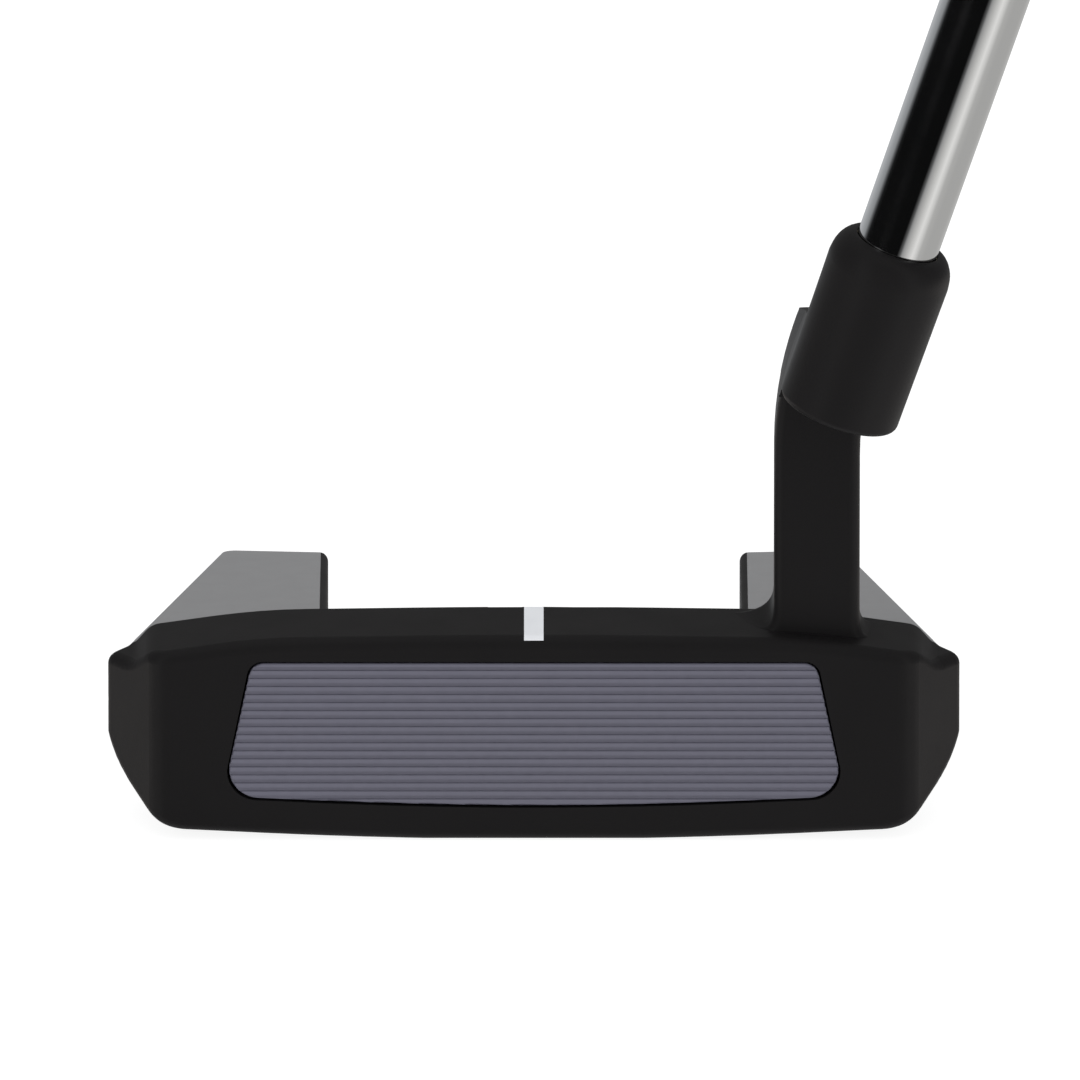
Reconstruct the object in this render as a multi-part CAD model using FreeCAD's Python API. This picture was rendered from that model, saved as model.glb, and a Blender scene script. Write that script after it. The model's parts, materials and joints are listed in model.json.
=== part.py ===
"""Mallet putter, right-handed, complete from sole to butt, in millimetres.

Frame: +Z up, +X towards the heel, +Y from the strike face to the back of the head.
The origin is the middle of the flat patch that the sole rests on.  Everything is drawn with the
leading edge at y = 0 and moved onto the origin when it is written.

The head is one casting: a face bar with two wings behind it, a low deck between the wings and a
crank neck whose socket carries the shaft ahead of the face.  A grooved insert sits on an adhesive
pad in the face, two weight screws sit in the sole, and paint fills the sight lines and wing tops.
The shaft is a stepped steel tube bonded in the socket, with a pistol grip taped on at the butt.
"""
import FreeCAD
import Part

import math
import os

V = FreeCAD.Vector
FAR = 200.0                         # longer than any part of the head
CLOSE = 1.0                         # near enough to pick out an edge, or to overlap a cut
TOUCHING = 0.02                     # an edge this near a surface lies on it

# ---------------------------------------------------------------- driving dimensions
LOFT = 3.0                          # face lean from vertical, degrees
LIE = 71.6                          # shaft to ground, degrees
CLUB_LENGTH = 864.0                 # ground to butt along the shaft: 34 inches

HEAD_HEIGHT = 24.0
BAR_DEPTH = 11.9                    # face bar, front to back
HEAD_DEPTH = 56.4
CROWN_EDGE = 1.35                   # rounding between the face and the top
SOLE_EDGE = 1.0                     # rounding of the leading edge and the back of the sole
FACE_HALF = 42.65                   # half width of the flat of the face
HEAD_HALF = 48.6                    # half width of the head
CHEEK_DEPTH = 8.2                   # how far back the angled cheeks run
CHEEK_EDGE = 3.0                    # upright edge between face and cheek
CHEEK_BACK_EDGE = 1.3
SHOULDER_HALF = 45.5                # half width where the cheeks meet the wings
SHOULDER_EDGE = 4.0
SOLE_RADIUS = 640.0                 # heel-to-toe camber
SOLE_SLOPE = 2.8                    # sole to ground where the camber ends, degrees
SOLE_HALF = 42.0                    # half width of the cambered sole
SOLE_CORNER = 6.3                   # rounding from the sole into the low chamfer
CROWN_RADIUS = 1000.0               # of the top, heel to toe
CROWN_RISE = 0.07                   # the tangents of the camber meet this much above the top
SOLE_FLAT_DEPTH = 0.12              # how much of the camber the flat patch takes away
SOLE_CENTRE = 24.0                  # from the leading edge back to the origin
RELIEF_START = 46.0                 # the sole lifts off the ground behind this
RELIEF_SLOPE = 14.0                 # degrees

# right half of the head from the front, above the sole: x, z, rounding
SIDE_CORNERS = [
    (48.1, 7.7, 11.5),              # top of the low chamfer
    (48.75, 15.0, 27.0),            # widest part of the cheek
    (48.2, 19.4, 0.7),              # top of the cheek
    (45.2, 19.65, 1.2),             # hollow between cheek and crown
    (43.3, 21.85, 2.5),             # end of the crown
    (31.0, 23.65, 80.0),            # where the crown begins to fall away
]

WING_INNER = 23.5                   # half the gap between the wings
WING_START_Z = 19.4                 # wing top where it meets the bar
WING_SLOPE = 7.1                    # wing tops fall towards the back, degrees
WING_BACK_HALF = 35.3
WING_BACK_RISE = 1.1                # the wings' back edges slant this much forward at the gap
BAR_BACK_EDGE = 0.5
WING_INNER_EDGE = 0.9
WING_CORNER = 1.5                   # upright corners at the back of the wings
DECK_Z = 5.6
DECK_BACK = 50.0
DECK_BACK_RADIUS = 400.0
DECK_CORNER = 1.5
DECK_CORNER_STEP = (0.4, 0.9)       # inwards and back from the gap's edge to that corner

INSERT_TOP_HALF = 31.9
INSERT_BOTTOM_HALF = 35.2
INSERT_BOTTOM_RADIUS = 520.0
INSERT_BOTTOM_SLOPE = 2.6           # degrees
INSERT_LOW = 4.12                   # middle of the lower edge, measured up the face
INSERT_HIGH = 21.0
INSERT_TOP_CORNER = 1.8
INSERT_BOTTOM_CORNER = 3.4
INSERT_SETBACK = 0.1                # front of the insert, behind the face
INSERT_DEPTH = 3.2
PAD_DEPTH = 0.5                     # adhesive pad behind the insert
INSERT_GAP = 0.22                   # clearance all round the insert
INSERT_EDGE = 0.25
GROOVE_COUNT = 17
GROOVE_PITCH = 0.953
GROOVE_FIRST = 4.87                 # lowest groove, measured up the face
GROOVE_WIDTH = 0.46
GROOVE_DEPTH = 0.2

LINE_WIDTH = 2.2                    # sight lines
LINE_DEPTH = 0.4
DECK_LINE_START = 14.5
DECK_LINE_END = 47.0
PAINT_DEPTH = 0.35                  # wing top fill
WING_BORDER = 0.85                  # bare rounded edge inside each wing

POST_LEFT = 27.15
POST_RIGHT = 36.85
POST_FRONT = 4.2
POST_BACK = 11.3
POST_BOTTOM = 15.0                  # buried in the bar
POST_TOP = 60.2
POST_BEND_START = 44.6              # above this the post leans over towards the shaft
POST_BEND_RADIUS = 46.0             # of the toe side
POST_EDGE = 1.2                     # rounding of the upright edges
# hollow fillets at the post's foot: height of the bar, then run and rise at the front and at the back
FOOT_TOE = (23.75, (0.85, 2.7), (5.8, 3.7))
FOOT_HEEL = (22.55, (1.4, 2.7), (1.9, 2.2))
BRIDGE_GRIP = 0.97                  # how far round the socket the bridge's sides reach, 1 is tangent
BRIDGE_SPREAD = 0.03                # the bridge is this much wider than the post
BRIDGE_LOW_AT_SOCKET = 55.3         # underside of the bridge between socket and post
BRIDGE_LOW_AT_POST = 53.0
BRIDGE_TOP_AT_SOCKET = 65.0         # the bridge's top rises from the back of the post to here
BRIDGE_TOP_AT_FRONT = 62.4          # and is this high at the front of the post
POST_HIDDEN = 2.0                   # the post stops this far below its top, inside the bridge

SOCKET_X = 40.95                    # middle of the socket's mouth
SOCKET_Y = -4.7
SOCKET_Z = 73.7
SOCKET_LENGTH = 21.2
SOCKET_RADIUS = 7.08                # below the lip
SOCKET_LOW_RADIUS = 6.9             # at the lower end
SOCKET_BORE = 4.82
SOCKET_BORE_DEPTH = 18.0
SOCKET_MOUTH = 4.98                 # bore at the mouth, where the rounded lip starts
LIP_HEIGHT = 3.4
SOCKET_HEEL_EDGE = 0.8              # rounding at the bottom of the socket

WEIGHT_X = 33.0
WEIGHT_Y = 27.0
WEIGHT_FACE_Z = 1.0                 # underside of the weight, a little inside the sole
WEIGHT_RADIUS = 6.0
WEIGHT_HEAD = 4.2
WEIGHT_CLEARANCE = 0.15
WEIGHT_EDGE = 0.4
STUD_RADIUS = 3.0
STUD_LENGTH = 5.0
KEY_FLATS = 4.0                     # hexagon key
KEY_DEPTH = 2.6
WASHER_THICKNESS = 0.6

TIP_RADIUS = 4.7                    # shaft where it is bonded
TIP_GAP = 0.2                       # epoxy under the end of the shaft
TAPER = 0.003                       # radius gained per mm above the socket
TAPER_LENGTH = 110.0
STEP_COUNT = 11
STEP_FIRST = 285.0                  # first step, above the socket's mouth
STEP_PITCH = 26.0
STEP_BLEND = 1.5                    # length over which the tube swells at each step
BUTT_RADIUS = 7.35
TUBE_WALL = 0.55
PLUG_LENGTH = 10.0
EPOXY_RECESS = 0.4                  # epoxy stops this far inside the mouth

GRIP_LENGTH = 267.0
TAPE_THICKNESS = 0.15
TAPE_MARGIN = 3.0                   # the tape stops this far inside the grip
CAP_THICKNESS = 4.0
CAP_EDGE = 1.6
VENT_RADIUS = 1.5

# how far up the grip, half width, depth to the flat front, depth to the back
GRIP_SECTIONS = [
    (0.0, 8.6, 8.2, 8.6),
    (12.0, 9.5, 8.9, 9.4),
    (70.0, 10.3, 9.4, 10.2),
    (130.0, 11.0, 9.8, 11.4),
    (175.0, 11.4, 10.0, 13.0),
    (215.0, 11.9, 10.2, 15.6),
    (245.0, 12.4, 10.4, 17.6),
    (263.0, 12.4, 10.4, 17.8),
]
FRONT_SQUARENESS = 0.45             # 1 is round, smaller is a flatter front
SIDE_SQUARENESS = 0.8
GRIP_POINTS = 32                    # points round each section

LEAN = 90.0 - LIE
BUTT = CLUB_LENGTH - SOCKET_Z / math.cos(math.radians(LEAN))   # above the socket's mouth
GRIP_START = BUTT - GRIP_LENGTH
TUBE_END = BUTT - CAP_THICKNESS


# ---------------------------------------------------------------- helpers
def tan(degrees):
    return math.tan(math.radians(degrees))


def near(a, b):
    return abs(a - b) < 1e-6


def rounded(corners, to_point):
    """A closed wire through (a, b, radius) corners, each rounded; to_point maps (a, b) into space."""
    joins = []
    for i, (a, b, radius) in enumerate(corners):
        here = V(a, b, 0)
        before = V(*corners[i - 1][:2], 0) - here
        after = V(*corners[(i + 1) % len(corners)][:2], 0) - here
        before.normalize()
        after.normalize()
        half = before.getAngle(after) / 2
        bisector = (before + after).normalize()
        run = radius / math.tan(half)
        centre = here + bisector * (radius / math.sin(half))
        joins.append((here + before * run, centre - bisector * radius, here + after * run))
    edges = []
    for i, join in enumerate(joins):
        start, middle, end = [to_point(p.x, p.y) for p in join]
        following = to_point(joins[(i + 1) % len(joins)][0].x, joins[(i + 1) % len(joins)][0].y)
        if start != end:
            edges.append(Part.Arc(start, middle, end).toShape())
        edges.append(Part.makeLine(end, following))
    return Part.Wire(edges)


def mirrored(half):
    """A whole outline from its right half, given from the bottom middle round to the top."""
    return half + [(-a, b, radius) for a, b, radius in reversed(half) if a != 0]


def prism(wire, along):
    return Part.Face(wire).extrude(along)


def box(low, high):
    size = [h - l for l, h in zip(low, high)]
    return Part.makeBox(*size, V(*low))


def lean_back(shape):
    """Tips a shape drawn on an upright face back by the loft, about the leading edge."""
    tipped = shape.copy()
    tipped.rotate(V(0, 0, 0), V(1, 0, 0), -LOFT)
    return tipped


def along_shaft(shape):
    """Takes a shape drawn up the Z axis from the middle of the socket's mouth onto the shaft."""
    placed = shape.copy()
    placed.rotate(V(0, 0, 0), V(0, 1, 0), LEAN)
    placed.translate(V(SOCKET_X, SOCKET_Y, SOCKET_Z))
    return placed


def revolved(points):
    """A solid of revolution about Z from (radius, z) points."""
    wire = Part.makePolygon([V(r, 0, z) for r, z in points + points[:1]])
    return Part.Face(wire).revolve(V(0, 0, 0), V(0, 0, 1), 360)


def disc(radius, low, high, x=0.0, y=0.0):
    return Part.makeCylinder(radius, high - low, V(x, y, low))


def fillet(shape, radius, chosen):
    """Rounds the edges that chosen(middle of the edge, edge) picks."""
    edges = []
    for edge in shape.Edges:
        middle = edge.valueAt((edge.FirstParameter + edge.LastParameter) / 2)
        if chosen(middle, edge):
            edges.append(edge)
    return shape.makeFillet(radius, edges)


# ---------------------------------------------------------------- head
def front_outline():
    """The head from the front: cambered sole, chamfered low corners, cheeks and crowned top."""
    dip = SOLE_RADIUS * (1 / math.cos(math.radians(SOLE_SLOPE)) - 1) + SOLE_FLAT_DEPTH
    sole = [(0, -dip, SOLE_RADIUS), (SOLE_HALF, SOLE_HALF * tan(SOLE_SLOPE) - dip, SOLE_CORNER)]
    crown = [(0, HEAD_HEIGHT + CROWN_RISE, CROWN_RADIUS)]
    return rounded(mirrored(sole + SIDE_CORNERS + crown), lambda x, z: V(x, -FAR / 2, z))


def plan_outline():
    """The head from above: face, angled cheeks, shoulders and wings, and the deck's back edge."""
    inwards, back = DECK_CORNER_STEP
    half = [
        (0, DECK_BACK, DECK_BACK_RADIUS),
        (WING_INNER - inwards, DECK_BACK + back, DECK_CORNER),
        (WING_INNER, HEAD_DEPTH - WING_BACK_RISE, WING_CORNER),
        (WING_BACK_HALF, HEAD_DEPTH, WING_CORNER),
        (SHOULDER_HALF, BAR_DEPTH - BAR_BACK_EDGE, SHOULDER_EDGE),
        (HEAD_HALF, CHEEK_DEPTH, CHEEK_BACK_EDGE),
        (FACE_HALF, 0, CHEEK_EDGE),
    ]
    return mirrored(half)


def above_wings(drop):
    """Everything behind the bar that is above the wing tops lowered by drop."""
    start = WING_START_Z - drop
    points = [(BAR_DEPTH, start), (FAR, start - (FAR - BAR_DEPTH) * tan(WING_SLOPE)),
              (FAR, FAR), (BAR_DEPTH, FAR), (BAR_DEPTH, start)]
    return prism(Part.makePolygon([V(-FAR, y, z) for y, z in points]), V(2 * FAR, 0, 0))


def sole_relief():
    """The wedge of ground clearance under the back of the head."""
    points = [(RELIEF_START, 0), (FAR, (FAR - RELIEF_START) * tan(RELIEF_SLOPE)), (FAR, -FAR),
              (RELIEF_START, -FAR), (RELIEF_START, 0)]
    return prism(Part.makePolygon([V(-FAR, y, z) for y, z in points]), V(2 * FAR, 0, 0))


def bar_limit():
    """Everything the face bar may fill above the wings: its back edge is rounded along the top."""
    def on_back(m, e):
        return near(m.y, BAR_DEPTH) and m.z > HEAD_HEIGHT - CLOSE and abs(m.x) < CLOSE

    bar = prism(front_outline(), V(0, FAR / 2 + BAR_DEPTH, 0))
    bar = fillet(bar, BAR_BACK_EDGE, on_back)
    return bar.fuse(box((-FAR, -FAR, -FAR), (FAR, FAR, WING_START_Z)))


def head_body():
    """The casting without its neck, pockets and paint."""
    lean = V(0, tan(LOFT) * FAR, FAR)
    plan = prism(rounded(plan_outline(), lambda x, y: V(x, y, 0) - lean / 2), lean)
    body = prism(front_outline(), V(0, FAR, 0)).common(plan)
    body = body.cut(box((-FAR, -FAR, -FAR), (FAR, FAR, 0)))
    body = body.cut(sole_relief())

    def along_crown(m, e):
        return abs(m.x) < CLOSE and m.y < BAR_DEPTH / 2 and m.z > HEAD_HEIGHT / 2

    def along_leading_edge(m, e):
        return abs(m.x) < CLOSE and m.y < BAR_DEPTH / 2 and m.z < HEAD_HEIGHT / 2

    def on_relief(m, e):
        height = (m.y - RELIEF_START) * tan(RELIEF_SLOPE)
        return m.y > RELIEF_START + CLOSE and abs(m.z - height) < TOUCHING

    body = fillet(body, CROWN_EDGE, along_crown)
    body = fillet(body, SOLE_EDGE, lambda m, e: along_leading_edge(m, e) or on_relief(m, e))
    body = body.cut(above_wings(0))
    body = body.cut(box((-WING_INNER, BAR_DEPTH, DECK_Z), (WING_INNER, FAR, FAR)))
    body = body.common(bar_limit())

    def inside_wings(m, e):
        return near(abs(m.x), WING_INNER) and m.z > DECK_Z + CLOSE and e.Length > HEAD_DEPTH / 2

    return fillet(body, WING_INNER_EDGE, inside_wings)


def post_side(x, radius, z):
    """Where a side of the post is at height z, for a side at x that bends with this radius."""
    rise = max(z - POST_BEND_START, 0)
    return x + radius - math.sqrt(radius ** 2 - rise ** 2)


def post_sides(low, high, y, spread=0.0):
    """Arcs up the toe and heel sides of the post between two heights; spread moves them apart."""
    heel_radius = POST_BEND_RADIUS - (POST_RIGHT - POST_LEFT)
    heights = (low, (low + high) / 2, high)
    toe = [V(post_side(POST_LEFT, POST_BEND_RADIUS, z) - spread, y, z) for z in heights]
    heel = [V(post_side(POST_RIGHT, heel_radius, z) + spread, y, z) for z in heights]
    return toe, heel


def post_outline():
    """The post from the front, straight at first and then bending over towards the shaft."""
    toe, heel = post_sides(POST_BEND_START, POST_TOP - POST_HIDDEN, POST_FRONT)
    low_toe = V(toe[0].x, POST_FRONT, POST_BOTTOM)
    low_heel = V(heel[0].x, POST_FRONT, POST_BOTTOM)
    return Part.Wire([
        Part.Arc(*toe).toShape(),
        Part.makeLine(toe[2], heel[2]),
        Part.Arc(*reversed(heel)).toShape(),
        Part.makeLine(heel[0], low_heel),
        Part.makeLine(low_heel, low_toe),
        Part.makeLine(low_toe, toe[0]),
    ])


def post():
    """The neck's upright post and the hollow fillets at its foot, with its upright edges rounded."""
    def upright(m, e):
        on_side = near(m.y, POST_FRONT) or near(m.y, POST_BACK)
        return on_side and HEAD_HEIGHT < m.z < POST_TOP - POST_HIDDEN - CLOSE

    solid = prism(post_outline(), V(0, POST_BACK - POST_FRONT, 0))
    solid = solid.fuse([foot(POST_LEFT, -1, *FOOT_TOE), foot(POST_RIGHT, 1, *FOOT_HEEL)])
    return fillet(solid.removeSplitter(), POST_EDGE, upright)


def bridge_section(toe, heel):
    """A section of the bridge from its toe and heel side edges, both drawn upwards."""
    low_toe, high_toe = toe.valueAt(toe.FirstParameter), toe.valueAt(toe.LastParameter)
    low_heel, high_heel = heel.valueAt(heel.FirstParameter), heel.valueAt(heel.LastParameter)
    return Part.Wire([toe, Part.makeLine(high_toe, high_heel), heel, Part.makeLine(low_heel, low_toe)])


def bridge():
    """The block that carries the socket ahead of the post."""
    def socket_side(sign):
        ends = []
        for z in (BRIDGE_LOW_AT_SOCKET, BRIDGE_TOP_AT_SOCKET):
            axis = SOCKET_X + (z - SOCKET_Z) * tan(LEAN)
            half = BRIDGE_GRIP * SOCKET_RADIUS / math.cos(math.radians(LEAN))
            ends.append(V(axis + sign * half, SOCKET_Y, z))
        return Part.makeLine(*ends)

    sections = [bridge_section(socket_side(-1), socket_side(1))]
    for y, top in ((POST_FRONT, BRIDGE_TOP_AT_FRONT), (POST_BACK, POST_TOP)):
        sides = post_sides(BRIDGE_LOW_AT_POST, top, y, BRIDGE_SPREAD)
        sections.append(bridge_section(*[Part.Arc(*points).toShape() for points in sides]))

    def upright_at_back(m, e):
        return near(m.y, POST_BACK) and BRIDGE_LOW_AT_POST + CLOSE < m.z < POST_TOP - CLOSE

    return fillet(Part.makeLoft(sections, True, True), POST_EDGE, upright_at_back)


def foot(x, side, top, front, back):
    """A hollow fillet at the post's foot that grows towards the back; side is -1 on the toe side."""
    sections = []
    for y, (run, rise) in ((POST_FRONT, front), (POST_BACK, back)):
        corner = V(x, y, top)
        start = corner + V(side * run, 0, 0)
        end = corner + V(0, 0, rise)
        inside = end - V(side * 2 * POST_EDGE, 0, 0)
        below = V(inside.x, y, POST_BOTTOM)
        outer = V(start.x, y, POST_BOTTOM)
        curve = Part.BezierCurve()
        curve.setPoles([start, corner, end])
        lines = [(end, inside), (inside, below), (below, outer), (outer, start)]
        sections.append(Part.Wire([curve.toShape()] + [Part.makeLine(a, b) for a, b in lines]))
    return Part.makeLoft(sections, True, True)


def socket():
    """The cylinder round the shaft, with a rounded lip and a rounded lower edge; no bore yet."""
    inner = V(SOCKET_MOUTH, 0, 0)
    outer = V(SOCKET_RADIUS, 0, -LIP_HEIGHT)
    lip = Part.Ellipse(inner, outer, V(SOCKET_MOUTH, 0, -LIP_HEIGHT))
    corners = [outer, V(SOCKET_LOW_RADIUS, 0, -SOCKET_LENGTH), V(0, 0, -SOCKET_LENGTH), V(0, 0, 0), inner]
    edges = [Part.makeLine(a, b) for a, b in zip(corners, corners[1:])]
    edges.append(Part.ArcOfEllipse(lip, 0, math.pi / 2).toShape())
    solid = Part.Face(Part.Wire(edges)).revolve(V(0, 0, 0), V(0, 0, 1), 360)
    solid = fillet(solid, SOCKET_HEEL_EDGE, lambda m, e: near(m.z, -SOCKET_LENGTH) and e.Closed)
    return along_shaft(solid)


def neck(body):
    """Adds the neck to the head and bores the socket."""
    whole = body.fuse([post(), bridge(), socket()]).removeSplitter()
    return whole.cut(along_shaft(disc(SOCKET_BORE, -SOCKET_BORE_DEPTH, LIP_HEIGHT)))


# ---------------------------------------------------------------- face insert
def insert_outline(grow, y):
    """The insert's outline on the upright face, made larger all round by grow."""
    dip = INSERT_BOTTOM_RADIUS * (1 / math.cos(math.radians(INSERT_BOTTOM_SLOPE)) - 1)
    low = INSERT_LOW - dip - grow
    bottom_half = INSERT_BOTTOM_HALF + grow
    half = [
        (0, low, INSERT_BOTTOM_RADIUS),
        (bottom_half, low + bottom_half * tan(INSERT_BOTTOM_SLOPE), INSERT_BOTTOM_CORNER),
        (INSERT_TOP_HALF + grow, INSERT_HIGH + grow, INSERT_TOP_CORNER),
    ]
    return rounded(mirrored(half), lambda x, z: V(x, y, z))


def insert_layer(grow, front, back):
    return prism(insert_outline(grow, front), V(0, back - front, 0))


def face_insert():
    back = INSERT_SETBACK + INSERT_DEPTH
    plate = insert_layer(0, INSERT_SETBACK, back)
    plate = fillet(plate, INSERT_EDGE, lambda m, e: near(m.y, INSERT_SETBACK))
    half = INSERT_BOTTOM_HALF + CLOSE
    floor = INSERT_SETBACK + GROOVE_DEPTH
    grooves = []
    for i in range(GROOVE_COUNT):
        low = GROOVE_FIRST + i * GROOVE_PITCH
        grooves.append(box((-half, INSERT_SETBACK - CLOSE, low), (half, floor, low + GROOVE_WIDTH)))
    return lean_back(plate.cut(grooves))


# ---------------------------------------------------------------- weights in the sole
def weight_screw():
    """Round head in the sole with a threaded stud above it and a hexagon key hole below."""
    top = WEIGHT_FACE_Z + WEIGHT_HEAD
    screw = disc(WEIGHT_RADIUS, WEIGHT_FACE_Z, top, WEIGHT_X, WEIGHT_Y)
    screw = fillet(screw, WEIGHT_EDGE, lambda m, e: near(m.z, WEIGHT_FACE_Z))
    stud = disc(STUD_RADIUS, top - CLOSE, top + STUD_LENGTH, WEIGHT_X, WEIGHT_Y)
    screw = screw.fuse(stud).removeSplitter()
    corner = KEY_FLATS / math.sqrt(3)
    angles = [math.radians(60 * i) for i in range(7)]
    points = [V(WEIGHT_X + corner * math.cos(a), WEIGHT_Y + corner * math.sin(a), 0) for a in angles]
    return screw.cut(prism(Part.makePolygon(points), V(0, 0, WEIGHT_FACE_Z + KEY_DEPTH)))


def weight_washer():
    low = WEIGHT_FACE_Z + WEIGHT_HEAD
    outer = disc(WEIGHT_RADIUS - WEIGHT_CLEARANCE, low, low + WASHER_THICKNESS, WEIGHT_X, WEIGHT_Y)
    hole = disc(STUD_RADIUS + WEIGHT_CLEARANCE, low - CLOSE, low + 2 * CLOSE, WEIGHT_X, WEIGHT_Y)
    return outer.cut(hole)


def weight_pocket():
    step = WEIGHT_FACE_Z + WEIGHT_HEAD + WASHER_THICKNESS
    wide = disc(WEIGHT_RADIUS + WEIGHT_CLEARANCE, -FAR, step, WEIGHT_X, WEIGHT_Y)
    return wide.fuse(disc(STUD_RADIUS, step - CLOSE, step + STUD_LENGTH, WEIGHT_X, WEIGHT_Y))


def other_side(shape):
    return shape.mirror(V(0, 0, 0), V(1, 0, 0))


# ---------------------------------------------------------------- shaft and grip
def tube_outline():
    """(radius, height) points up the outside of the tube, height measured from the socket's mouth."""
    points = [(TIP_RADIUS, TIP_GAP - SOCKET_BORE_DEPTH), (TIP_RADIUS, 0)]
    radius = TIP_RADIUS + TAPER * TAPER_LENGTH
    points.append((radius, TAPER_LENGTH))
    swell = (BUTT_RADIUS - radius) / STEP_COUNT
    for i in range(STEP_COUNT):
        height = STEP_FIRST + i * STEP_PITCH
        points.append((radius, height))
        radius += swell
        points.append((radius, height + STEP_BLEND))
    points.append((radius, TUBE_END))
    return points


def tube_solid(grow):
    """The tube as a solid bar, its radius changed by grow."""
    outline = tube_outline()
    core = [(0, outline[-1][1]), (0, outline[0][1])]
    return revolved([(r + grow, z) for r, z in outline] + core)


def shaft():
    return tube_solid(0).cut(tube_solid(-TUBE_WALL))


def shaft_plug():
    low = TIP_GAP - SOCKET_BORE_DEPTH
    return disc(TIP_RADIUS - TUBE_WALL, low, low + PLUG_LENGTH)


def socket_epoxy():
    cup = disc(SOCKET_BORE, -SOCKET_BORE_DEPTH, -EPOXY_RECESS)
    return cup.cut(disc(TIP_RADIUS, TIP_GAP - SOCKET_BORE_DEPTH, 0))


def grip_tape():
    span = disc(FAR, GRIP_START + TAPE_MARGIN, TUBE_END)
    return tube_solid(TAPE_THICKNESS).cut(tube_solid(0)).common(span)


def grip_section(height, half_width, front, back):
    """One closed section: flat towards -X where the thumbs rest, round at the back."""
    points = []
    for i in range(GRIP_POINTS):
        angle = 2 * math.pi * i / GRIP_POINTS
        x = math.cos(angle)
        y = math.sin(angle)
        if x >= 0:
            points.append(V(back * x, half_width * y, height))
        else:
            flattened = math.copysign(abs(x) ** FRONT_SQUARENESS, x)
            widened = math.copysign(abs(y) ** SIDE_SQUARENESS, y)
            points.append(V(front * flattened, half_width * widened, height))
    curve = Part.BSplineCurve()
    curve.interpolate(Points=points, PeriodicFlag=True)
    return Part.Wire(curve.toShape())


def grip_and_cap():
    sections = [grip_section(GRIP_START + up, *rest) for up, *rest in GRIP_SECTIONS]
    whole = Part.makeLoft(sections, True, False)
    top = GRIP_SECTIONS[-1][0] + GRIP_START
    rubber = whole.cut(tube_solid(TAPE_THICKNESS))
    _, half_width, front, back = GRIP_SECTIONS[-1]
    cap = prism(grip_section(top, half_width, front, back), V(0, 0, CAP_THICKNESS))
    cap = fillet(cap, CAP_EDGE, lambda m, e: near(m.z, top + CAP_THICKNESS))
    return rubber, cap.cut(disc(VENT_RADIUS, top - CLOSE, top + CAP_THICKNESS + CLOSE))


# ---------------------------------------------------------------- assembly
def build():
    parts = {}
    head = neck(head_body())

    pad_front = INSERT_SETBACK + INSERT_DEPTH
    pad_back = pad_front + PAD_DEPTH
    head = head.cut(lean_back(insert_layer(INSERT_GAP, -CHEEK_DEPTH, pad_back)))
    parts["face_insert"] = face_insert()
    parts["insert_adhesive_pad"] = lean_back(insert_layer(0, pad_front, pad_back))

    half_line = LINE_WIDTH / 2

    def line_region(start, end, surface):
        return box((-half_line, start, surface - LINE_DEPTH), (half_line, end, FAR))

    fills = {
        "topline_sight_line": line_region(-CLOSE, BAR_DEPTH + CLOSE, HEAD_HEIGHT),
        "deck_sight_line": line_region(DECK_LINE_START, DECK_LINE_END, DECK_Z),
    }
    toe_fill = above_wings(PAINT_DEPTH).common(box((-FAR, 0, 0), (-WING_INNER - WING_BORDER, FAR, FAR)))
    fills["toe_wing_inlay"] = toe_fill
    fills["heel_wing_inlay"] = other_side(toe_fill)
    for name, region in fills.items():
        parts[name] = head.common(region)
        head = head.cut(region)

    pockets = {"heel": weight_pocket(), "toe": other_side(weight_pocket())}
    head = head.cut(list(pockets.values()))
    parts["heel_sole_weight"] = weight_screw()
    parts["toe_sole_weight"] = other_side(weight_screw())
    parts["heel_weight_washer"] = weight_washer()
    parts["toe_weight_washer"] = other_side(weight_washer())
    parts["putter_head"] = head

    rubber, cap = grip_and_cap()
    on_shaft = {
        "shaft": shaft(),
        "shaft_tip_plug": shaft_plug(),
        "hosel_epoxy": socket_epoxy(),
        "grip_tape": grip_tape(),
        "grip": rubber,
        "grip_end_cap": cap,
    }
    parts.update({name: along_shaft(shape) for name, shape in on_shaft.items()})
    return parts


os.makedirs("parts", exist_ok=True)
for name, shape in build().items():
    shape.translate(V(0, -SOLE_CENTRE, 0))
    solid = shape.Solids[0]
    solid.exportStep(f"parts/{name}.step")
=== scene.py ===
"""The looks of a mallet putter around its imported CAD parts: shaft, grip, materials and studio."""

import json
import math

import bmesh
import bpy
from mathutils import Matrix, Vector


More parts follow.
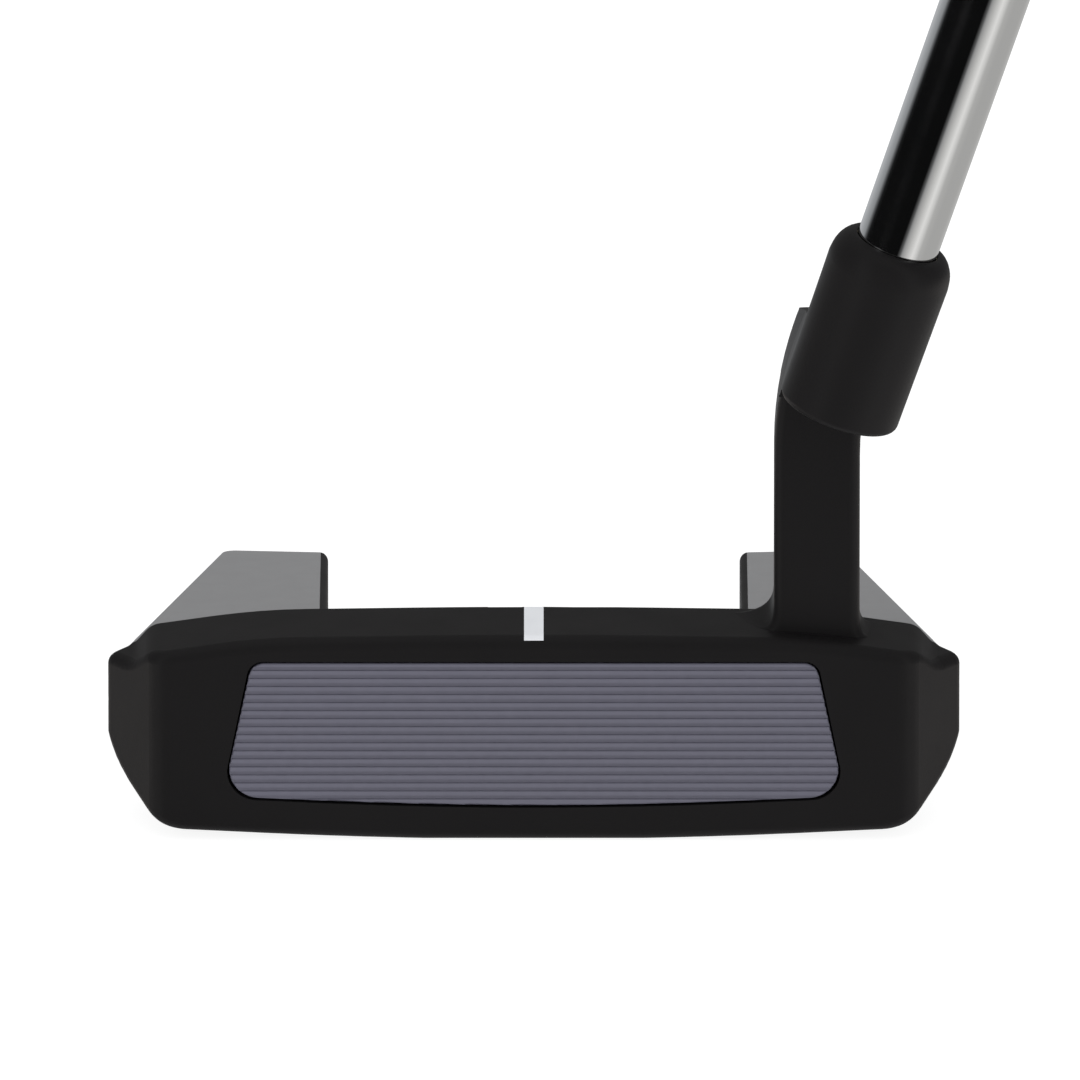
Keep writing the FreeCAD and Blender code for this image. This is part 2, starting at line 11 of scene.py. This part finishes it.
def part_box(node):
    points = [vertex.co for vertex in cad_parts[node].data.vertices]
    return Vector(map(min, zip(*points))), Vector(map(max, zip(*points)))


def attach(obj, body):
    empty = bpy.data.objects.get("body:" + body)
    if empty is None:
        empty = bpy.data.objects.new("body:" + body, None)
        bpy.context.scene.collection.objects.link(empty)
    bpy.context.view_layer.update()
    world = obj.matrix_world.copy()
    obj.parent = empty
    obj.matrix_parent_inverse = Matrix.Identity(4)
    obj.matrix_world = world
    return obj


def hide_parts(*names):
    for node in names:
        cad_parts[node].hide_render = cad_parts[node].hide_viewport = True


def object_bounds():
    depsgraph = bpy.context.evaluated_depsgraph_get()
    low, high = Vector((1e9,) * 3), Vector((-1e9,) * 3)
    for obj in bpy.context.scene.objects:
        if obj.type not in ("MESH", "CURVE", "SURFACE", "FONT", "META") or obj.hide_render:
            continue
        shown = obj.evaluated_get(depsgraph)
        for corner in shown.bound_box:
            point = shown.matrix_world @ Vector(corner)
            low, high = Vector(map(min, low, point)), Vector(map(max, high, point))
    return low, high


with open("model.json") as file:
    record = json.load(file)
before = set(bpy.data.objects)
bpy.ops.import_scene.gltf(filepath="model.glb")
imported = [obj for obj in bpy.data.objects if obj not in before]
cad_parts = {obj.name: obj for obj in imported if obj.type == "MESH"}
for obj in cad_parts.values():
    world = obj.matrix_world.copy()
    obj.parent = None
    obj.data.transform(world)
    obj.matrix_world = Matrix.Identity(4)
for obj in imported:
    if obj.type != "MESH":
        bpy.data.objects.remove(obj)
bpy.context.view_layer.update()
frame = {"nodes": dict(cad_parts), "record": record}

MM = 0.001

# ---------------------------------------------------------------- shaft axis, from the frame
mounts = {m["name"]: m for m in frame["record"]["mounts"]}
AXIS = Vector(mounts["grip_hold"]["axis"])
ON_SHAFT = Vector(mounts["shaft_clip"]["pos_m"])
LEAN = math.atan2(AXIS.x, AXIS.z)
CLIP_ABOVE_MOUTH = 200 * MM
MOUTH = ON_SHAFT - AXIS * CLIP_ABOVE_MOUTH
BUTT = (Vector(mounts["butt_end"]["pos_m"]) - MOUTH).dot(AXIS)

# ---------------------------------------------------------------- shaft and grip sizes, as in the CAD
TIP_RADIUS = 4.7 * MM
TIP = -17.8 * MM                    # lower end of the tube, from the socket's mouth
TAPER = 0.003
TAPER_LENGTH = 110 * MM
STEP_COUNT = 11
STEP_FIRST = 285 * MM
STEP_PITCH = 26 * MM
STEP_BLEND = 1.5 * MM
STEP_RINGS = (0, 0.15, 0.35, 0.5, 0.65, 0.85, 1)    # where the rings of points lie along each step
SHAFT_CREASE = math.radians(50)     # edges sharper than this stay crisp
BUTT_RADIUS = 7.35 * MM
TUBE_WALL = 0.55 * MM
CAP_THICKNESS = 4 * MM
GRIP_LENGTH = 267 * MM
TAPE_THICKNESS = 0.15 * MM
ROUND = 128                         # points round the shaft and the grip

# how far up the grip, half width, depth to the flat front, depth to the back, in mm
GRIP_SECTIONS = [
    (0.0, 8.6, 8.2, 8.6),
    (12.0, 9.5, 8.9, 9.4),
    (70.0, 10.3, 9.4, 10.2),
    (130.0, 11.0, 9.8, 11.4),
    (175.0, 11.4, 10.0, 13.0),
    (215.0, 11.9, 10.2, 15.6),
    (245.0, 12.4, 10.4, 17.6),
    (263.0, 12.4, 10.4, 17.8),
]
FRONT_SQUARENESS = 0.45             # 1 is round, smaller is a flatter front
SIDE_SQUARENESS = 0.8
GRIP_RING_PITCH = 0.6 * MM          # between rings of points along the grip
GRIP_LIP = 0.5 * MM                 # rounding at the grip's mouth
GRIP_LIP_ANGLES = (0, 15, 30, 45, 60, 75)           # of the rings of points round that lip, degrees
GRIP_CREASE = math.radians(60)
COLLAR = 14 * MM                    # smooth length at both ends of the grip
PATTERN_FADE = 4 * MM               # over which the pattern fades in from the collars
RIB_PITCH = 4 * MM                  # ribs across the flat front
RIB_DEPTH = 0.5 * MM
RIB_HALF_ANGLE = math.radians(62)   # how far round from the middle of the front the ribs reach
RIB_FADE = 0.12                     # angle over which the ribs run out, radians
DIAMOND_PITCH = 6 * MM              # soft diamonds round the back, along the grip
DIAMOND_FADE = 0.2                  # angle over which they come in behind the ribs, radians
DIAMONDS_ROUND = 16
DIAMOND_DEPTH = 0.6 * MM
RING_GROOVES = (5 * MM, 8 * MM)     # from the grip's mouth
RING_GROOVE_HALF = 0.8 * MM
RING_GROOVE_DEPTH = 0.35 * MM


# ---------------------------------------------------------------- mesh helpers
def new_object(name, bm, smooth=True):
    mesh = bpy.data.meshes.new(name)
    bm.to_mesh(mesh)
    bm.free()
    obj = bpy.data.objects.new(name, mesh)
    bpy.context.scene.collection.objects.link(obj)
    for polygon in mesh.polygons:
        polygon.use_smooth = smooth
    return obj


def skin(rings):
    """A closed surface through rings of points, with the last ring joined to the first."""
    bm = bmesh.new()
    made = [[bm.verts.new(p) for p in ring] for ring in rings]
    for low, high in zip(made, made[1:] + made[:1]):
        for i in range(ROUND):
            j = (i + 1) % ROUND
            bm.faces.new((low[i], low[j], high[j], high[i]))
    bmesh.ops.recalc_face_normals(bm, faces=bm.faces)
    return bm


def circle(radius, height):
    turn = 2 * math.pi / ROUND
    angles = [i * turn for i in range(ROUND)]
    return [Vector((radius * math.cos(angle), radius * math.sin(angle), height)) for angle in angles]


def shaft_object(name, rings, crease):
    """An object from rings drawn up the Z axis, moved onto the shaft; edges over crease stay crisp."""
    bm = skin(rings)
    bm.transform(Matrix.Translation(MOUTH) @ Matrix.Rotation(LEAN, 4, "Y"))
    obj = new_object(name, bm)
    edges = obj.modifiers.new("edges", "EDGE_SPLIT")
    edges.split_angle = crease
    return obj


def ease(value):
    """0 to 1 with a soft start and a soft end."""
    value = min(max(value, 0.0), 1.0)
    return value * value * (3 - 2 * value)


# ---------------------------------------------------------------- shaft
def tube_stations():
    """(height, radius) pairs up the outside of the tube, with each step eased in and out."""
    stations = [(TIP, TIP_RADIUS), (0, TIP_RADIUS)]
    radius = TIP_RADIUS + TAPER * TAPER_LENGTH
    stations.append((TAPER_LENGTH, radius))
    swell = (BUTT_RADIUS - radius) / STEP_COUNT
    for i in range(STEP_COUNT):
        height = STEP_FIRST + i * STEP_PITCH
        for part in STEP_RINGS:
            stations.append((height + part * STEP_BLEND, radius + swell * ease(part)))
        radius += swell
    stations.append((BUTT - CAP_THICKNESS, radius))
    return stations


def shaft_piece():
    outside = [circle(radius, height) for height, radius in tube_stations()]
    inside = [circle(radius - TUBE_WALL, height) for height, radius in reversed(tube_stations())]
    return shaft_object("shaft_tube", outside + inside, SHAFT_CREASE)


# ---------------------------------------------------------------- grip
def grip_size(up):
    """Half width, front depth and back depth at a height up the grip, smooth through the sections."""
    heights = [row[0] * MM for row in GRIP_SECTIONS]
    last = len(heights) - 1
    i = max(k for k in range(last) if heights[k] <= up or k == 0)
    span = heights[i + 1] - heights[i]
    part = min((up - heights[i]) / span, 1.0)

    def slope(k, column):
        before, after = max(k - 1, 0), min(k + 1, last)
        change = GRIP_SECTIONS[after][column] - GRIP_SECTIONS[before][column]
        return change * MM / (heights[after] - heights[before])

    sizes = []
    for column in (1, 2, 3):
        low, high = GRIP_SECTIONS[i][column] * MM, GRIP_SECTIONS[i + 1][column] * MM
        cubic = (2 * part ** 3 - 3 * part ** 2 + 1) * low + (3 * part ** 2 - 2 * part ** 3) * high
        cubic += (part ** 3 - 2 * part ** 2 + part) * span * slope(i, column)
        cubic += (part ** 3 - part ** 2) * span * slope(i + 1, column)
        sizes.append(cubic)
    return sizes


def grip_pattern(up, angle):
    """Depth cut into the rubber: ribs in front, diamonds round the back, rings and a lip at the mouth."""
    length = GRIP_LENGTH - CAP_THICKNESS
    body = ease((up - COLLAR) / PATTERN_FADE) * ease((length - COLLAR - up) / PATTERN_FADE)
    from_front = abs(abs(angle) - math.pi)
    front = 1 - ease((from_front - RIB_HALF_ANGLE) / RIB_FADE + 1)
    rib = (0.5 - 0.5 * math.cos(2 * math.pi * up / RIB_PITCH)) ** 2
    back = ease((from_front - RIB_HALF_ANGLE) / DIAMOND_FADE - 0.5)
    turn = DIAMONDS_ROUND * angle / 2
    climb = math.pi * up / DIAMOND_PITCH
    diamond = (math.sin(climb + turn) * math.sin(climb - turn)) ** 2
    depth = body * (front * rib * RIB_DEPTH + back * (1 - diamond) ** 3 * DIAMOND_DEPTH)
    for groove in RING_GROOVES:
        off = abs(up - groove) / RING_GROOVE_HALF
        depth += RING_GROOVE_DEPTH * (1 - ease(off))
    lip = max(GRIP_LIP - up, 0.0)
    seam = max(up - (length - GRIP_LIP), 0.0)
    return depth + seam / 2 + GRIP_LIP - math.sqrt(GRIP_LIP ** 2 - lip ** 2)


def grip_ring(up):
    half_width, front, back = grip_size(up)
    ring = []
    for i in range(ROUND):
        angle = 2 * math.pi * i / ROUND
        x, y = math.cos(angle), math.sin(angle)
        if x >= 0:
            point = Vector((back * x, half_width * y, 0))
        else:
            flattened = math.copysign(abs(x) ** FRONT_SQUARENESS, x)
            widened = math.copysign(abs(y) ** SIDE_SQUARENESS, y)
            point = Vector((front * flattened, half_width * widened, 0))
        signed = (angle + math.pi) % (2 * math.pi) - math.pi
        point *= 1 - grip_pattern(up, signed) / point.length
        point.z = BUTT - GRIP_LENGTH + up
        ring.append(point)
    return ring


def grip_piece():
    length = GRIP_LENGTH - CAP_THICKNESS
    count = round(length / GRIP_RING_PITCH)
    heights = [GRIP_LIP * (1 - math.cos(math.radians(angle))) for angle in GRIP_LIP_ANGLES]
    heights += [length * i / count for i in range(2, count + 1)]
    bore = BUTT_RADIUS + TAPE_THICKNESS
    outside = [grip_ring(up) for up in heights]
    inside = [circle(bore, BUTT - CAP_THICKNESS), circle(bore, BUTT - GRIP_LENGTH)]
    return shaft_object("grip_sleeve", outside + inside, GRIP_CREASE)


# ---------------------------------------------------------------- materials
TURNING_PITCH = 0.25 * MM           # between the lathe's rings on the sole weights


def material(name, color, roughness, metallic=0.0, specular=0.5):
    mat = bpy.data.materials.new(name)
    mat.use_nodes = True
    shader = mat.node_tree.nodes["Principled BSDF"]
    shader.inputs["Base Color"].default_value = (*color, 1)
    shader.inputs["Roughness"].default_value = roughness
    shader.inputs["Metallic"].default_value = metallic
    shader.inputs["Specular IOR Level"].default_value = specular
    return mat, shader


class Graph:
    """Short ways to add nodes to one material or world."""

    def __init__(self, mat):
        self.nodes = mat.node_tree.nodes
        self.links = mat.node_tree.links

    def add(self, kind, **settings):
        node = self.nodes.new(kind)
        for key, value in settings.items():
            setattr(node, key, value)
        return node

    def feed(self, socket, value):
        if hasattr(value, "links"):
            self.links.new(value, socket)
        else:
            socket.default_value = value

    def math(self, operation, *values, clamp=False):
        node = self.add("ShaderNodeMath", operation=operation, use_clamp=clamp)
        for socket, value in zip(node.inputs, values):
            self.feed(socket, value)
        return node.outputs[0]

    def position(self):
        return self.add("ShaderNodeTexCoord").outputs["Object"]

    def noise(self, scale, detail):
        node = self.add("ShaderNodeTexNoise")
        self.feed(node.inputs["Vector"], self.position())
        node.inputs["Scale"].default_value = scale
        node.inputs["Detail"].default_value = detail
        return node.outputs["Fac"]

    def spread(self, value, low, high):
        node = self.add("ShaderNodeMapRange")
        self.feed(node.inputs["Value"], value)
        node.inputs["To Min"].default_value = low
        node.inputs["To Max"].default_value = high
        return node.outputs["Result"]

    def blend(self, value, first, second):
        node = self.add("ShaderNodeMix", data_type="RGBA")
        self.feed(node.inputs["Factor"], value)
        self.feed(node.inputs["A"], first)
        self.feed(node.inputs["B"], second)
        return node.outputs["Result"]

    def tinted(self, color, tint):
        node = self.add("ShaderNodeVectorMath", operation="MULTIPLY")
        self.feed(node.inputs[0], color)
        self.feed(node.inputs[1], tint)
        return node.outputs["Vector"]

    def ramp(self, value, stops):
        """Grey levels along value from (degrees, level) stops, -180 to 180."""
        node = self.add("ShaderNodeValToRGB")
        self.feed(node.inputs["Fac"], value)
        elements = node.color_ramp.elements
        while len(elements) < len(stops):
            elements.new(0.5)
        for element, (degrees, level) in zip(elements, stops):
            element.position = (degrees + 180) / 360
            element.color = (level, level, level, 1)
        return node.outputs["Color"]

    def bump(self, height, distance):
        node = self.add("ShaderNodeBump")
        self.feed(node.inputs["Height"], height)
        node.inputs["Distance"].default_value = distance
        return node.outputs["Normal"]


def coated_black():
    """Satin black coating with a fine grain and slightly uneven sheen."""
    mat, shader = material("coated_black", (0.0118, 0.0112, 0.0115), 0.4, specular=0.15)
    g = Graph(mat)
    dark, light = (0.0108, 0.0102, 0.0106, 1), (0.0128, 0.0120, 0.0124, 1)
    g.feed(shader.inputs["Base Color"], g.blend(g.noise(60, 3), dark, light))
    g.feed(shader.inputs["Roughness"], g.spread(g.noise(180, 3), 0.35, 0.45))
    g.feed(shader.inputs["Normal"], g.bump(g.noise(5200, 4), 0.012 * MM))
    return mat


def insert_polymer():
    """Milled grey polymer, faintly speckled."""
    mat, shader = material("insert_polymer", (0.135, 0.133, 0.174), 0.5)
    g = Graph(mat)
    dark, light = (0.125, 0.124, 0.163, 1), (0.146, 0.143, 0.187, 1)
    g.feed(shader.inputs["Base Color"], g.blend(g.noise(900, 4), dark, light))
    g.feed(shader.inputs["Roughness"], g.spread(g.noise(300, 3), 0.42, 0.56))
    g.feed(shader.inputs["Normal"], g.bump(g.noise(4000, 3), 0.01 * MM))
    return mat


def enamel(name, dark, light, roughness):
    """Paint or plastic: slightly clouded, with a soft orange peel."""
    mat, shader = material(name, light, roughness)
    g = Graph(mat)
    g.feed(shader.inputs["Base Color"], g.blend(g.noise(450, 4), (*dark, 1), (*light, 1)))
    g.feed(shader.inputs["Roughness"], g.spread(g.noise(250, 3), roughness - 0.06, roughness + 0.06))
    g.feed(shader.inputs["Normal"], g.bump(g.noise(1800, 4), 0.012 * MM))
    return mat


def chrome():
    """Bright plating, unevenly polished, with the faintest ripple."""
    mat, shader = material("chrome", (0.86, 0.865, 0.87), 0.06, metallic=1.0)
    g = Graph(mat)
    g.feed(shader.inputs["Roughness"], g.spread(g.noise(140, 4), 0.035, 0.085))
    g.feed(shader.inputs["Normal"], g.bump(g.noise(700, 3), 0.0015 * MM))
    return mat


def rubber():
    """Satin moulded rubber, faintly clouded, with a fine texture."""
    mat, shader = material("rubber", (0.016, 0.016, 0.017), 0.5, specular=0.5)
    g = Graph(mat)
    dark, light = (0.012, 0.012, 0.013, 1), (0.022, 0.022, 0.023, 1)
    g.feed(shader.inputs["Base Color"], g.blend(g.noise(90, 4), dark, light))
    g.feed(shader.inputs["Roughness"], g.spread(g.noise(400, 4), 0.42, 0.56))
    g.feed(shader.inputs["Normal"], g.bump(g.noise(2500, 4), 0.03 * MM))
    return mat


def turned_steel(name, centre):
    """Steel with the fine rings that a lathe leaves round its centre."""
    mat, shader = material(name, (0.5, 0.5, 0.51), 0.3, metallic=1.0)
    g = Graph(mat)
    apart = g.add("ShaderNodeVectorMath", operation="SUBTRACT")
    g.feed(apart.inputs[0], g.position())
    apart.inputs[1].default_value = centre
    flat = g.add("ShaderNodeVectorMath", operation="MULTIPLY")
    g.feed(flat.inputs[0], apart.outputs["Vector"])
    flat.inputs[1].default_value = (1, 1, 0)
    radius = g.add("ShaderNodeVectorMath", operation="LENGTH")
    g.feed(radius.inputs[0], flat.outputs["Vector"])
    rings = g.math("SINE", g.math("MULTIPLY", radius.outputs["Value"], 2 * math.pi / TURNING_PITCH))
    rings = g.math("MULTIPLY_ADD", rings, 0.5, 0.5)
    dark, light = (0.46, 0.46, 0.47, 1), (0.55, 0.55, 0.56, 1)
    g.feed(shader.inputs["Base Color"], g.blend(g.noise(300, 3), dark, light))
    g.feed(shader.inputs["Roughness"], g.spread(rings, 0.22, 0.36))
    g.feed(shader.inputs["Normal"], g.bump(rings, 0.004 * MM))
    return mat


def crepe_tape():
    """Cream paper tape with fine wrinkles."""
    mat, shader = material("crepe_tape", (0.62, 0.57, 0.46), 0.8)
    g = Graph(mat)
    dark, light = (0.56, 0.51, 0.41, 1), (0.68, 0.63, 0.52, 1)
    g.feed(shader.inputs["Base Color"], g.blend(g.noise(700, 5), dark, light))
    g.feed(shader.inputs["Roughness"], g.spread(g.noise(500, 3), 0.7, 0.9))
    g.feed(shader.inputs["Normal"], g.bump(g.noise(1500, 5), 0.05 * MM))
    return mat


def dress(obj, mat):
    obj.data.materials.clear()
    obj.data.materials.append(mat)


def weight_finish(node):
    low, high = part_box(node)
    return turned_steel(node + "_steel", (low + high) / 2)


finishes = {
    "putter_head": coated_black(),
    "face_insert": insert_polymer(),
    "topline_sight_line": enamel("white_enamel", (0.81, 0.83, 0.86), (0.87, 0.89, 0.92), 0.4),
    "toe_wing_inlay": enamel("grey_enamel", (0.258, 0.259, 0.264), (0.282, 0.283, 0.288), 0.5),
    "insert_adhesive_pad": enamel("adhesive_foam", (0.1, 0.1, 0.1), (0.14, 0.14, 0.13), 0.8),
    "toe_sole_weight": weight_finish("toe_sole_weight"),
    "heel_sole_weight": weight_finish("heel_sole_weight"),
    "toe_weight_washer": enamel("nylon", (0.08, 0.08, 0.08), (0.1, 0.1, 0.1), 0.5),
    "hosel_epoxy": enamel("resin", (0.4, 0.36, 0.25), (0.5, 0.45, 0.32), 0.3),
    "shaft_tip_plug": enamel("plug_plastic", (0.05, 0.05, 0.05), (0.07, 0.07, 0.07), 0.5),
    "grip_tape": crepe_tape(),
    "grip_end_cap": rubber(),
}
finishes["deck_sight_line"] = finishes["topline_sight_line"]
finishes["heel_wing_inlay"] = finishes["toe_wing_inlay"]
finishes["heel_weight_washer"] = finishes["toe_weight_washer"]
for name, mat in finishes.items():
    dress(frame["nodes"][name], mat)

made_pieces = [
    (shaft_piece(), chrome(), "shaft", "shaft_chrome"),
    (grip_piece(), finishes["grip_end_cap"], "grip", "grip_rubber"),
]
for piece, mat, node, slot in made_pieces:
    dress(piece, mat)
    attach(piece, "root")
    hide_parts(node)


# ---------------------------------------------------------------- studio
FLOOR_HALF = 200.0
FLOOR_GLOW = 0.88                   # with the light that falls on it, this makes the floor white
SHAFT_BAND = 0.332                  # how far down the shaft's axis its reflections point
# brightness round the compass, in degrees from the camera's side towards the heel
SHAFT_PANELS = [
    (-180, 0.48), (-150, 0.46), (-135, 0.38), (-118, 0.28), (-109, 0.09), (-102, 0.012), (-92, 0.004),
    (-4, 0.004), (3, 0.10), (8, 0.32), (16, 0.46), (26, 0.62), (37, 0.80), (47, 0.66), (58, 0.46),
    (80, 0.41), (128, 0.41), (150, 0.47), (180, 0.48),
]
LOW_PANELS = [
    (-180, 0.27), (-150, 0.35), (-130, 0.8), (-60, 0.65), (-42, 0.3), (-30, 0.04), (30, 0.04),
    (42, 0.3), (60, 0.65), (130, 0.8), (150, 0.35), (180, 0.27),
]
HIGH_PANELS = [
    (-180, 0.19), (-165, 0.18), (-140, 0.2), (-110, 0.1), (-62, 0.04), (-55, 0.6), (-42, 0.6), (-35, 0.04),
    (35, 0.04), (42, 0.6), (55, 0.6), (62, 0.04), (110, 0.1), (140, 0.2), (165, 0.18), (180, 0.19),
]
LOW_MIDDLE = -0.40                  # height of the low panels' middle on the unit sphere
LOW_TINT = (1.05, 1.0, 0.96)
GREY_OVERHEAD = (0.3, 0.3, 0.3, 1)
GREY_BELOW = (0.5, 0.5, 0.5, 1)
# slope and offset of the soft edge of each zone
LOW_EDGE = (-10.0, 2.1)             # against the distance from LOW_MIDDLE
OVERHEAD_EDGE = (4.0, -3.0)         # against the height on the unit sphere
BELOW_EDGE = (-5.0, -3.2)
BAND_EDGE = (-25.0, 2.0)            # against the distance from SHAFT_BAND
WARMTH_EDGE = (2.0, 0.5)            # against the way towards the heel
COOL_TINT = (0.97, 1.0, 1.03, 1)    # of the strips on the toe side
WARM_TINT = (1.01, 1.0, 0.975, 1)   # and on the heel side
DOME = (0.95, 0.95, 0.955, 1)
BACKDROP = (1.03, 1.03, 1.03, 1)


def studio_floor():
    bm = bmesh.new()
    bmesh.ops.create_grid(bm, x_segments=1, y_segments=1, size=FLOOR_HALF)
    floor = new_object("floor", bm, smooth=False)
    floor.location.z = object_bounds()[0].z
    mat, shader = material("floor_paint", (0.25, 0.25, 0.25), 0.9, specular=0.0)
    shader.inputs["Emission Color"].default_value = (1, 1, 1, 1)
    shader.inputs["Emission Strength"].default_value = FLOOR_GLOW
    dress(floor, mat)
    floor.visible_glossy = False


def studio_world():
    """Soft white dome for diffuse light, and bright and dark panels that only gloss shows."""
    world = bpy.data.worlds.new("studio")
    bpy.context.scene.world = world
    world.use_nodes = True
    g = Graph(world)
    surround = g.nodes["Background"]
    direction = g.add("ShaderNodeTexCoord").outputs["Generated"]
    split = g.add("ShaderNodeSeparateXYZ")
    g.feed(split.inputs[0], direction)
    x, y, z = split.outputs
    turn = g.math("ARCTAN2", x, g.math("MULTIPLY", y, -1.0))
    around = g.math("MULTIPLY_ADD", turn, 0.5 / math.pi, 0.5)
    warmth = g.math("MULTIPLY_ADD", x, *WARMTH_EDGE, clamp=True)
    tint = g.blend(warmth, COOL_TINT, WARM_TINT)
    strips = g.tinted(g.ramp(around, SHAFT_PANELS), tint)
    low = g.tinted(g.ramp(around, LOW_PANELS), LOW_TINT)
    high = g.ramp(around, HIGH_PANELS)
    off_low = g.math("ABSOLUTE", g.math("SUBTRACT", z, LOW_MIDDLE))
    in_low = g.math("MULTIPLY_ADD", off_low, *LOW_EDGE, clamp=True)
    overhead = g.math("MULTIPLY_ADD", z, *OVERHEAD_EDGE, clamp=True)
    below = g.math("MULTIPLY_ADD", z, *BELOW_EDGE, clamp=True)
    surroundings = g.blend(in_low, g.blend(overhead, high, GREY_OVERHEAD), low)
    surroundings = g.blend(below, surroundings, GREY_BELOW)
    along = g.add("ShaderNodeVectorMath", operation="DOT_PRODUCT")
    g.feed(along.inputs[0], direction)
    along.inputs[1].default_value = AXIS
    off_band = g.math("ABSOLUTE", g.math("ADD", along.outputs["Value"], SHAFT_BAND))
    in_band = g.math("MULTIPLY_ADD", off_band, *BAND_EDGE, clamp=True)
    gloss = g.blend(in_band, surroundings, strips)
    path = g.add("ShaderNodeLightPath")
    seen = g.blend(path.outputs["Is Glossy Ray"], DOME, gloss)
    seen = g.blend(path.outputs["Is Camera Ray"], seen, BACKDROP)
    g.feed(surround.inputs["Color"], seen)


CAMERA_ELEVATION = math.radians(20.47)
CAMERA_DISTANCE = 5.0
CAMERA_CLIP = (1, 500)
SENSOR_WIDTH = 36                   # in millimetres, as the camera counts it
FRAME_WIDTH = 122.2 * MM            # across the picture at the head
AIM = Vector((0.7 * MM, -14 * MM, 32.6 * MM))


def camera():
    data = bpy.data.cameras.new("camera")
    data.sensor_width = SENSOR_WIDTH
    data.lens = SENSOR_WIDTH * CAMERA_DISTANCE / FRAME_WIDTH
    data.clip_start, data.clip_end = CAMERA_CLIP
    obj = bpy.data.objects.new("camera", data)
    bpy.context.scene.collection.objects.link(obj)
    back = Vector((0, -math.cos(CAMERA_ELEVATION), math.sin(CAMERA_ELEVATION)))
    obj.location = AIM + back * CAMERA_DISTANCE
    obj.rotation_euler = (-back).to_track_quat("-Z", "Y").to_euler()
    bpy.context.scene.camera = obj


studio_floor()
studio_world()
camera()
bpy.context.scene.view_settings.view_transform = "Standard"
